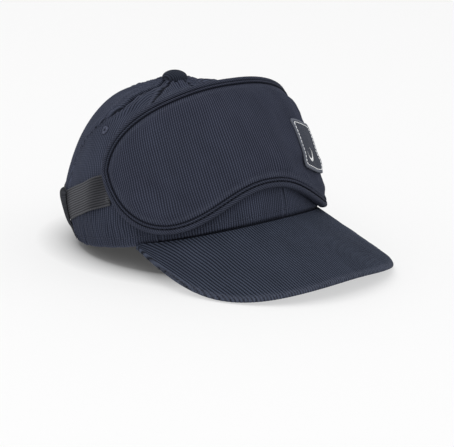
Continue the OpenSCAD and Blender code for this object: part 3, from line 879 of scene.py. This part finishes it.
def strap_section(name, a0, a1, body, nodes=(), steps=160):
    rows = 111
    a = linspace(a0, a1, steps)[:, None]
    j = linspace(-1, 1, rows)[None]
    z = strap_z(a) + j*strap_half(a)
    base, back = crown_z(a + 0*j, z, 1.2 + strap_gap(a)), crown_z(a + 0*j, z, 0.5 + strap_gap(a))
    n = normals(base)
    whole = linspace(STRAP_LEFT, 360 + STRAP_RIGHT, 900)
    lengths = length_along(crown_z(whole, strap_z(whole), 1.25), 0)
    run = interp(a, whole, lengths)
    side = np.where(a > 180, a, 360 - a)
    # Near the keeper and the mask the ribs flatten and the colour darkens, a painted shade.
    flat_shaded_ends = bell(side - 240, 5.5) + bell(side - 271, 7)
    plain = maximum(smooth((np.abs(j) - 0.8)/0.06), 0.7*minimum(flat_shaded_ends, 1))
    ribs = mix(np.abs(cos(j*pi*STRAP_RIBS))**0.7, 0.7, plain)
    weave = 0.05*cos(run*tau/1.1 + pi*np.floor(j*STRAP_RIBS + 0.5))
    rounding = -0.5*maximum(0, (np.abs(j) - 0.93)/0.07)**2
    outer = base + n*(0.2*(ribs - 0.3) + weave + rounding)[..., None]
    inner = back - n*(0.5*rounding)[..., None]
    cloth = xyz(j*STRAP_RIBS*2.1, run, bell(1 - np.abs(j), 0.035) - 0.1 - 0.55*flat_shaded_ends)
    piece = shell(name, outer, inner, cloth, ELASTIC)
    return own(piece, body, "elastic", *nodes)


def whip(name, a0, a1, body):
    """Small whip stitches that bind both edges of a length of the strap."""
    a = linspace(a0, a1, 200)
    rows = []
    for side in (-1, 1):
        line = crown_z(a, strap_z(a) + side*(strap_half(a) - 0.55), 1.4 + strap_gap(a))
        rows.append(thread_row(line, 0, 40))
    return stitches(name, rows, GREY_THREAD, 0.9, 0.9, 0.2, 0.0, 0.9, body)


def strap_point(a):
    p = crown_z(array([float(a)]), strap_z(array([float(a)])), 1.0)[0]
    return tuple(p*MM)


# Angles where the strap starts to swing, swings freely, starts to stretch, and ends. It
# stretches only in front of the crown's widest point, so that it clears the side panels.
STRAP_CUTS = {"right": (180 + 0.60*98, 180 + 0.74*98, 266, 360 + STRAP_RIGHT),
              "left": (180 - 0.52*114, 180 - 0.68*114, 94, STRAP_LEFT)}


def make_strap():
    back_right, back_left = STRAP_CUTS["right"][0], STRAP_CUTS["left"][0]
    strap_section("elastic_strap_back", back_left, back_right, "cap", ("elastic_strap",), 260)
    whip("elastic_whip_back", back_left, back_right, "cap")
    for side, (first, second, wide, last) in STRAP_CUTS.items():
        for label, a0, a1, bend, pair in (("rear", first, second, first, ("cap", "strap")),
                                          ("front", second, last, wide, ("strap", "mask"))):
            for maker, name in ((strap_section, "elastic_strap"), (whip, "elastic_whip")):
                piece = maker(f"{name}_{label}_{side}", min(a0, a1), max(a0, a1), None)
                strap_point(bend)
                strap_point(a1)
                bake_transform(piece)
    rows = []
    for a in (66.8, 67.9, 277.2, 276.1):
        rows.append(thread_row(crown_z(a, linspace(44.5, 62.5, 40), 1.6), 0, 40))
    stitches("strap_bar_tacks", rows, GREY_THREAD, 1.2, 0.1, 0.3, 0.05, 0.6, "mask")


# ---- mask

def spline_grid(values, rows, cols):
    """Smooth B-spline lookup of a grid at fractional rows and columns."""
    def weights(f, size):
        k = clip(np.floor(f).astype(int), 0, size - 2)
        w = f - k
        w4 = stack([(1 - w)**3, 3*w**3 - 6*w**2 + 4, -3*w**3 + 3*w**2 + 3*w + 1, w**3], -1)/6
        return clip(k[..., None] + np.arange(-1, 3), 0, size - 1), w4
    ri, rw = weights(rows, values.shape[0])
    ci, cw = weights(cols, values.shape[1])
    out = 0.0
    for i in range(4):
        for j in range(4):
            out = out + values[ri[..., i], ci[..., j]]*rw[..., i]*cw[..., j]
    return out


PAD_INSET, PAD_COLS, PAD_ROWS = 5.5, 96, 34
PUFF_CAP, PUFF_FRAMES = 2.4, 20


def pad_grid(depth):
    t = mix(sind(linspace(-84, 84, PAD_COLS)), linspace(-0.9945, 0.9945, PAD_COLS), 0.5)[:, None]
    v = linspace(0, 1, PAD_ROWS)[None]
    z = mix(mask_low(t, PAD_INSET), mask_high(t, PAD_INSET), v)
    return mask_at(t + 0*v, z, depth, PAD_INSET), t, v


def simulate_pad():
    """Blows the foam pad up with cloth simulation and returns it with its height map."""
    outer, t, v = pad_grid(0.9)
    inner, _, _ = pad_grid(2.9)
    cloth = xyz(t*125, v*80)
    pad = shell("mask_foam_pad", outer, inner, cloth, FOAM)
    n = normals(outer)
    mesh = pad.data
    half = PAD_COLS*PAD_ROWS
    rim = np.zeros(outer.shape[:2], bool)
    rim[[0, -1]] = rim[:, [0, -1]] = True
    group = pad.vertex_groups.new(name="held")
    held = np.flatnonzero(rim.ravel()).tolist() + list(range(half, 2*half))
    group.add(held, 1.0, "REPLACE")
    cloth_mod = pad.modifiers.new("Cloth", "CLOTH")
    settings = cloth_mod.settings
    settings.vertex_group_mass = "held"
    for key, value in (("quality", 8), ("mass", 0.2), ("tension_stiffness", 12),
            ("compression_stiffness", 12), ("shear_stiffness", 4), ("bending_stiffness", 0.6),
            ("use_pressure", True), ("uniform_pressure_force", 4), ("shrink_min", -0.035)):
        setattr(settings, key, value)
    settings.effector_weights.gravity = 0
    cloth_mod.collision_settings.use_collision = False
    cloth_mod.point_cache.frame_start, cloth_mod.point_cache.frame_end = 1, PUFF_FRAMES
    scene = bpy.context.scene
    scene.frame_start, scene.frame_end = 1, PUFF_FRAMES
    for f in range(1, PUFF_FRAMES + 1):
        scene.frame_set(f)
    evaluated = pad.evaluated_get(bpy.context.evaluated_depsgraph_get())
    result = np.zeros(len(mesh.vertices)*3, np.float32)
    evaluated.data.vertices.foreach_get("co", result)
    pad.modifiers.clear()
    scene.frame_set(1)
    moved = result.reshape(-1, 3)[:half].reshape(outer.shape)/MM - outer
    rise = np.sum(moved*n, -1)
    return pad, PUFF_CAP*np.tanh(maximum(rise, -1)/PUFF_CAP), t[:, 0]


def settle_pad(pad, rise, ts):
    """Lays the blown-up foam just under the face fabric, dents and stitched edge included."""
    outer, t, v = pad_grid(0.9)
    inner, _, _ = pad_grid(2.9)
    z = mix(mask_low(t, PAD_INSET), mask_high(t, PAD_INSET), v)
    share = (t + 0*v)*(MASK_ANGLE - PAD_INSET*0.68)/(MASK_ANGLE - 1.5)
    over = cover_lift(share, z, edge_distance(outer), rise, ts)
    low = minimum(rise*0.9, over*0.94 - 0.4)
    co = concatenate([(outer + normals(outer)*low[..., None]).reshape(-1, 3), inner.reshape(-1, 3)])*MM
    pad.data.vertices.foreach_set("co", co.astype(np.float32).ravel())
    pad.data.update()


def outline(count=1100):
    """The mask's rim as evenly spaced points, with the directions out of the face and inwards
    from the rim, and the length run so far."""
    turn = linspace(0, 360, 8001)[:-1]
    t = -cosd(turn)
    z = np.where(turn < 180, mask_high(t), mask_low(t))
    p = mask_at(t, z)
    closed = concatenate([p, p[:1]])
    run = length_along(closed, 0)
    at = linspace(0, run[-1], count, endpoint=False)
    c = stack([interp(at, run, closed[:, k]) for k in range(3)], -1)
    for _ in range(3):
        c = (np.roll(c, 1, 0) + 2*c + np.roll(c, -1, 0))/4
    t2 = interp(at, run, np.append(t, t[0]))
    z2 = interp(at, run, np.append(z, z[0]))
    n = surface_normals(mask_at, clip(t2, -0.995, 0.995), z2, 0.004, 1)
    along = unit(np.roll(c, -1, 0) - np.roll(c, 1, 0))
    n = unit(n - along*np.sum(n*along, -1, keepdims=True))
    return c, n, cross(along, n), at


C, C_N, C_IN, C_RUN = outline()


def edge_distance(points):
    tree = KDTree(len(C))
    for k, p in enumerate(C):
        tree.insert(p, k)
    tree.balance()
    flat = points.reshape(-1, 3)
    return array([tree.find(p)[2] for p in flat]).reshape(points.shape[:-1])


DENTS = ((-0.42, 52, 9, 14, 1.5), (-0.16, 70, 16, 7, 1.1), (-0.62, 72, 8, 16, 1.0),
         (0.2, 92, 18, 8, 0.9), (0.45, 60, 10, 12, 0.8), (0.75, 84, 9, 12, 0.9))


def face_lift(t, z, rise, ts):
    """Height of the padded face above the mask's base surface."""
    low, high = mask_low(t, PAD_INSET), mask_high(t, PAD_INSET)
    v = clip((z - low)/maximum(high - low, 1e-6), 0, 1)
    column = interp(t, ts, np.arange(len(ts)))
    lift = spline_grid(rise, column, v*(PAD_ROWS - 1))
    for dt, dz, wt, wz, deep in DENTS:
        lift = lift - deep*exp(-((t - dt)*125/wt)**2 - ((z - dz)/wz)**2)
    return lift + 0.5*wobble(t*125, z, 28, 61) + 0.2*wobble(t*125, z, 11, 62)


def cover_lift(t, z, d, rise, ts):
    """Height of the face fabric: padded inside, stitched down either side of the piping."""
    lift = face_lift(t, z, rise, ts)*smooth((d - 6.0)/7.5)
    return lift - 1.2*bell(d - 3.4, 0.6) - 0.5*bell(d - 5.9, 0.5)


def mask_normal(t, z):
    return surface_normals(mask_at, clip(t, -0.99, 0.99), z, 0.003, 0.6)


def make_mask():
    pad, rise, ts = simulate_pad()
    settle_pad(pad, rise, ts)
    own(pad, "mask", "foam", "mask_foam")

    inset = 2.2
    ends = 1 - array((0.0125, 0.010, 0.008, 0.006, 0.0045, 0.003, 0.002, 0.0012))

    def layer(columns, rows):
        t = np.sort(concatenate([linspace(-0.985, 0.985, columns), ends, -ends]))[:, None]
        v = linspace(0, 1, rows)[None]
        v = v - 0.7*sin(v*tau)/tau
        return t + 0*v, mix(mask_low(t, inset), mask_high(t, inset), v)
    t, z = layer(760, 122)
    base = mask_at(t, z, 0, inset)
    n = mask_normal(t, z)
    d = edge_distance(base)
    lift = cover_lift(t, z, d, rise, ts)
    lean = 0.13 + 0.3*(sqrt(t*t + 0.01) - t)/2
    x = radians(t*MASK_ANGLE)*97 + (z - 80)*lean
    x = x + 0.22*wobble(x, z, 30, 63)
    outer = base + n*(lift + CORD*(cord(x) - 0.5)*smooth((d - 2.4)/0.8))[..., None]
    inner = mask_at(t, z, 0.8, inset) + n*(lift*0.97)[..., None]
    # A lighter band about 8.5 mm inside the rim; painted shade in the two stitched grooves beside the
    # piping.
    wear_and_shade = 0.3*bell(d - 8.5, 1.4) - bell(d - 3.4, 0.6) - 0.9*bell(d - 5.8, 0.5)
    cloth = xyz(x, z, wear_and_shade)
    own(shell("mask_face_fabric", outer, inner, cloth, MASK_CLOTH), "mask", "mask_fabric", "mask_face")
    t, z = layer(200, 44)
    base = mask_at(t, z, 3.0, inset)
    n = mask_normal(t, z)
    soft = 0.35*wobble(t*125, z, 18, 64)*smooth((edge_distance(base) - 5)/6)
    back = mask_at(t, z, MASK_DEPTH, inset) + n*soft[..., None]
    cloth = xyz(t*125, z)
    own(shell("mask_lining_fabric", back, base + n*(soft*0.5)[..., None], cloth, LINING), "mask",
        "lining", "mask_lining")

    def swept(name, profile, material, slot, node, twine):
        """A strip round the mask's rim. profile is its section: inset from the outline, depth."""
        profile = array(profile)
        wave = twine*(np.abs(cos(C_RUN*pi/1.3)) - 0.5)
        inset, depth = np.moveaxis(profile + unit(profile - profile.mean(0))*wave[:, None, None], -1, 0)
        sections = C[:, None] + C_IN[:, None]*inset[..., None] - C_N[:, None]*depth[..., None]
        around = length_along(profile, 0)
        x = profile[:, 0]
        # Lighter at the outer fold of the rim; painted shade along the grooves at insets 3.5 and 5.6
        # mm, where the strips meet the face.
        wear_and_shade = 0.35*bell(x, 0.7) - bell(x - 3.5, 0.4) - 0.8*bell(x - 5.6, 0.35)
        cloth = xyz(C_RUN[:, None] + around*0.8, around, wear_and_shade)
        own(tube(name, sections, cloth, material, ring=True), "mask", slot, node)
    top = [(3.1, -0.05), (2.8, -0.55), (2.1, -0.95), (1.2, -1.0), (0.4, -0.65), (-0.1, 0.1),
        (-0.25, 1.2), (-0.25, 2.4), (-0.05, 3.4), (0.5, 4.05), (1.4, 4.3), (2.4, 4.2), (3.05, 3.95)]
    under = [(3.0, 3.5), (2.2, 3.65), (1.2, 3.6), (0.55, 3.1), (0.35, 2.2), (0.4, 1.2), (0.8, 0.2),
        (1.4, -0.3), (2.2, -0.25), (2.9, 0.3)]
    swept("mask_edge_binding", top + under, BIND_CLOTH, "binding", "mask_binding", 0.15)
    round_cord = [(4.6 + 0.95*math.cos(k*tau/12), 0.1 - 0.95*math.sin(k*tau/12)) for k in range(12)]
    swept("mask_piping_cord", round_cord, BIND_CLOTH, "mask_fabric", "mask_piping", 0.14)
    groove = C + C_IN*3.4 - C_N*0.75
    row = tuple(concatenate([p, p[:1]]) for p in (groove, C_N))
    stitches("mask_binding_stitching", [row], NAVY_THREAD, 2.2, 0.8, 0.26, body="mask")
    make_patch(rise, ts)


def make_patch(rise, ts):
    t_range, v_range = (0.33, 0.6), (0.275, 0.655)

    def on_face(p, q, off):
        """Point over the padded face at shares p and q of the patch."""
        t = mix(t_range[0], t_range[1], p)
        z = mix(mask_low(t), mask_high(t), mix(v_range[0], v_range[1], q))
        n = mask_normal(t, z)
        lift = face_lift(t, z, rise, ts)
        return mask_at(t, z) + n*(lift*0.6 + 0.4*lift.mean() + off)[..., None], n
    k = 90
    p, q = np.meshgrid(linspace(0, 1, k), linspace(0, 1, k), indexing="ij")
    weave = 0.06*cos(p*k)*cos(q*k)
    outer, n = on_face(p, q, 1.25)
    inner, _ = on_face(p, q, 0.1)
    size = (norm(outer[-1, k//2] - outer[0, k//2]), norm(outer[k//2, -1] - outer[k//2, 0]))
    cloth = xyz(p*size[0], q*size[1])
    own(shell("patch_canvas", outer + n*weave[..., None], inner, cloth, PATCH_CLOTH), "mask", "patch",
        "patch_base")

    def rounded(inset, count, corner=1.6):
        """Rounded rectangle in millimetres round the patch, as shares p and q."""
        w, h = size[0]/2 - inset, size[1]/2 - inset
        pts = []
        for cx, cy, start in ((w - corner, h - corner, 0), (corner - w, h - corner, 90),
                (corner - w, corner - h, 180), (w - corner, corner - h, 270)):
            for a in linspace(start, start + 90, 9):
                pts.append((cx + corner*cosd(a), cy + corner*sind(a)))
        pts = array(pts + pts[:1])
        run = length_along(pts, 0)
        at = linspace(0, run[-1], count, endpoint=False)
        x = interp(at, run, pts[:, 0])
        y = interp(at, run, pts[:, 1])
        return x/size[0] + 0.5, y/size[1] + 0.5, at
    count, sides = 560, 12
    p, q, at = rounded(0.2, count)
    line, n = on_face(p, q, 0.95)
    along = unit(np.roll(line, -1, 0) - np.roll(line, 1, 0))
    side = cross(n, along)
    turn = circle(sides)[None]
    thread = 1 + 0.13*np.abs(cos(at*pi/0.55))[:, None]
    sections = (line[:, None] + side[:, None]*(0.85*thread*cos(turn))[..., None]
        + n[:, None]*(0.8*thread*sin(turn))[..., None])
    cloth = xyz(at[:, None], turn)
    own(tube("patch_overlock_edge", sections, cloth, PATCH_RIM, ring=True), "mask", "patch_edge",
        "patch_edge")
    p, q, _ = rounded(1.75, 400, 1.0)
    line, n = on_face(np.append(p, p[0]), np.append(q, q[0]), 1.36)
    stitches("patch_border_stitching", [(line, n)], WHITE_THREAD, 2.2, 0.35, 0.3, body="mask")
    rows, across = 15, 60
    theta = linspace(-1, 1, across)[:, None]
    shift = array([-1.2, 1.8])
    tilt = math.atan2(-shift[1], -shift[0])
    turn = theta*math.radians(127)

    def arc(radius, turn):
        return radius*stack([cos(turn + tilt), sin(turn + tilt)], -1)
    w = linspace(0, 1, rows)[None, :, None]
    flat = mix(shift + arc(4.6*0.86, turn*1.12), arc(4.6, turn), w)
    p = (0.425 - t_range[0])/(t_range[1] - t_range[0]) + flat[..., 0]/size[0]
    q = (0.39 - v_range[0])/(v_range[1] - v_range[0]) + flat[..., 1]/size[1]
    crown_up = sin(pi*w[..., 0])*0.35*sqrt(maximum(1 - theta**2, 0))
    ridges = 0.05*cos(theta*40)
    top, _ = on_face(p, q, 1.45 + crown_up + ridges)
    bottom, _ = on_face(p, q, 1.2)
    cloth = xyz(theta*12, w[..., 0]*4)
    own(shell("patch_crescent", top, bottom, cloth, EMBLEM), "mask", "emblem", "patch_emblem")


# ---- scene

def make_stage():
    n = Nodes("pale_floor_painted_shadow")
    n.shader.inputs["Base Color"].default_value = (0.38, 0.38, 0.38, 1)
    n.shader.inputs["Roughness"].default_value = 0.9
    n.shader.inputs["Emission Color"].default_value = (1, 1, 1, 1)
    # The floor glows to read evenly bright; near the cap's footprint the glow falls off, a painted
    # contact shadow.
    painted_shadow_spot = n.tree.nodes.new("ShaderNodeVectorMath")
    painted_shadow_spot.operation = "LENGTH"
    n.put(painted_shadow_spot.inputs[0], n.mapped(n.position(), (1/84, 1/98, 0)))
    glow_past_painted_shadow = n.math("POWER", n.ramp(painted_shadow_spot.outputs["Value"], 0.86, 1.2), 0.6)
    n.put(n.shader.inputs["Emission Strength"], n.fma(glow_past_painted_shadow, 0.505, 0.05))
    far = 6000
    corners = [(x, y, -0.3) for x, y in ((-far, -far), (far, -far), (far, far), (-far, far))]
    build("floor", corners, [(0, 1, 2, 3)], n.material)


def make_lights():
    world = bpy.data.worlds.new("studio")
    world.use_nodes = True
    background = world.node_tree.nodes["Background"]
    background.inputs["Color"].default_value = (1, 1, 1, 1)
    background.inputs["Strength"].default_value = 0.82
    bpy.context.scene.world = world
    for name, place, size, power in (("key", (-0.9, -0.9, 1.6), 1.1, 7.5),
                                     ("top", (-0.3, 0.6, 1.9), 1.2, 4.0),
                                     ("fill", (1.4, -1.2, 0.9), 1.2, 1.5)):
        data = bpy.data.lights.new(name, "AREA")
        data.shape, data.size, data.energy = "SQUARE", size, power
        lamp = bpy.data.objects.new(name, data)
        lamp.location = place
        lamp.rotation_mode = "QUATERNION"
        lamp.rotation_quaternion = (Vector(place) - Vector((0, 0, 0.06))).to_track_quat("Z", "Y")
        bpy.context.scene.collection.objects.link(lamp)


def make_camera():
    azimuth, elevation, roll = math.radians(-42.94), math.radians(15.72), math.radians(0.476)
    back = Vector((math.sin(azimuth)*math.cos(elevation), -math.cos(azimuth)*math.cos(elevation),
                   math.sin(elevation)))
    level = Vector((0, 0, 1)).cross(back).normalized()
    up = back.cross(level)
    right = (level*math.cos(roll) + up*math.sin(roll)).normalized()
    up = back.cross(right)
    data = bpy.data.cameras.new("camera")
    data.lens, data.sensor_width = 169.5, 36
    data.shift_x, data.shift_y = 0.0846, -0.0035
    camera = bpy.data.objects.new("camera", data)
    turn = Matrix((right, up, back)).transposed().to_4x4()
    camera.matrix_world = Matrix.Translation(Vector((0, 0, 0.0151)) + back*1.5) @ turn
    bpy.context.scene.collection.objects.link(camera)
    bpy.context.scene.camera = camera


def dress(node, material):
    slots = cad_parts[node].data.materials
    slots.clear()
    slots.append(material)


make_crown()
make_crown_stitches()
make_eyelets()
make_button()
make_brim()
make_inside()
make_back()
make_keepers()
make_strap()
make_mask()
dress("brim_board", BOARD)
dress("button_core", STEEL)
dress("button_washer", STEEL)
make_stage()
make_lights()
make_camera()
bpy.context.scene.view_settings.view_transform = "Standard"

bpy.context.view_layer.update()
